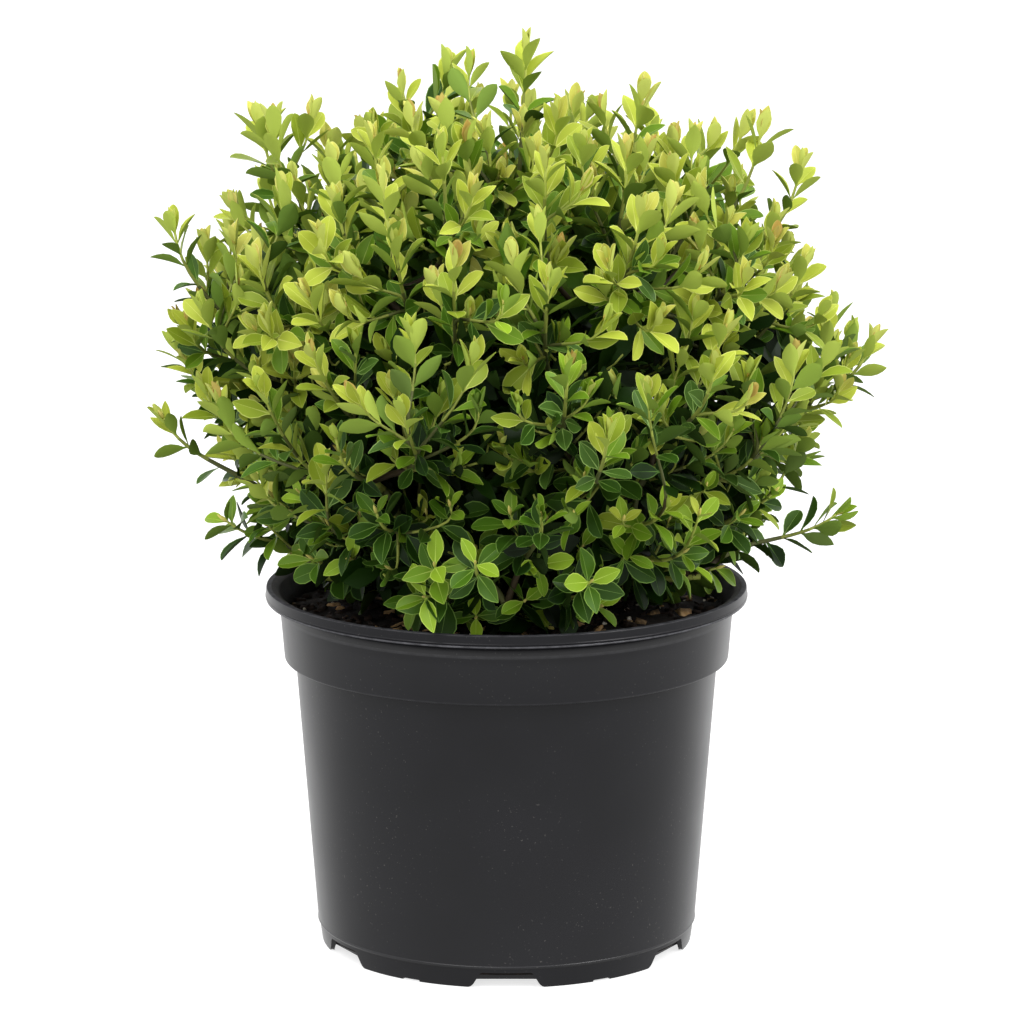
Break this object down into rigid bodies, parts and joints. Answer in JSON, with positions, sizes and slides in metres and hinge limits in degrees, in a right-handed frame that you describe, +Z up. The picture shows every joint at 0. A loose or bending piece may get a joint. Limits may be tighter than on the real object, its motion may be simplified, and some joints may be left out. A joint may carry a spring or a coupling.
{
  "type": "potted inkberry holly",
  "caption": "Dense, rounded evergreen shrub in a round black nursery pot, with a short stem, forked boughs and masses of small, blunt leaves.",
  "frame": {"origin": "on the ground, on the pot's axis, under the middle of the crown", "axes": "+Z up along the pot's axis; -Y is the front; +X is to the right seen from the front"},
  "size_m": [0.4331, 0.4292, 0.5317],
  "materials": {
    "pot_plastic": "satin",
    "potting_mix": "matte",
    "bark": "matte",
    "foliage_low": "satin",
    "foliage_mid": "satin",
    "foliage_top": "satin",
    "foliage_crest": "satin"
  },
  "bodies": {
    "root": {"pot": "pot_plastic", "potting_mix": "potting_mix", "stem": "bark", "bough_low_1": "bark", "bough_low_2": "bark", "bough_low_3": "bark", "bough_low_4": "bark", "bough_low_5": "bark", "bough_mid_1": "bark", "bough_mid_2": "bark", "bough_mid_3": "bark", "bough_mid_4": "bark", "bough_mid_5": "bark", "bough_top_1": "bark", "bough_top_2": "bark", "bough_top_3": "bark", "bough_top_4": "bark", "bough_crest_1": "bark", "foliage_low_1": "foliage_low", "foliage_low_2": "foliage_low", "foliage_low_3": "foliage_low", "foliage_low_4": "foliage_low", "foliage_low_5": "foliage_low", "foliage_mid_1": "foliage_mid", "foliage_mid_2": "foliage_mid", "foliage_mid_3": "foliage_mid", "foliage_mid_4": "foliage_mid", "foliage_mid_5": "foliage_mid", "foliage_top_1": "foliage_top", "foliage_top_2": "foliage_top", "foliage_top_3": "foliage_top", "foliage_top_4": "foliage_top", "foliage_crest_1": "foliage_crest"}
  },
  "joints": []
}
